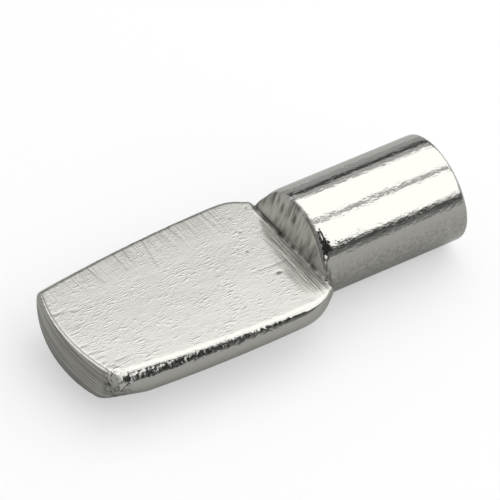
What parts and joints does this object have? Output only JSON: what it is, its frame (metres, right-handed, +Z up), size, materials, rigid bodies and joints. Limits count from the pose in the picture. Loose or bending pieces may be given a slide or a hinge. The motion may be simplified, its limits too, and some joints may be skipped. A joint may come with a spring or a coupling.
{
  "type": "shelf support pin",
  "caption": "Spoon-style shelf support pin: a round shank that plugs into a cabinet side and a flattened paddle that carries the shelf.",
  "frame": {"origin": "on the shank's axis at the seat, the plane where the paddle's heel stops against the cabinet side", "axes": "+X along the shank to its free end, +Z up through the flat face that carries the shelf, +Y across the paddle"},
  "size_m": [0.0242, 0.01, 0.0064],
  "materials": {
    "plated_steel": "bright nickel plate over cold-forged steel, fine die marks and tumbling scratches"
  },
  "bodies": {
    "root": {"shelf_pin": "plated_steel"}
  },
  "joints": []
}
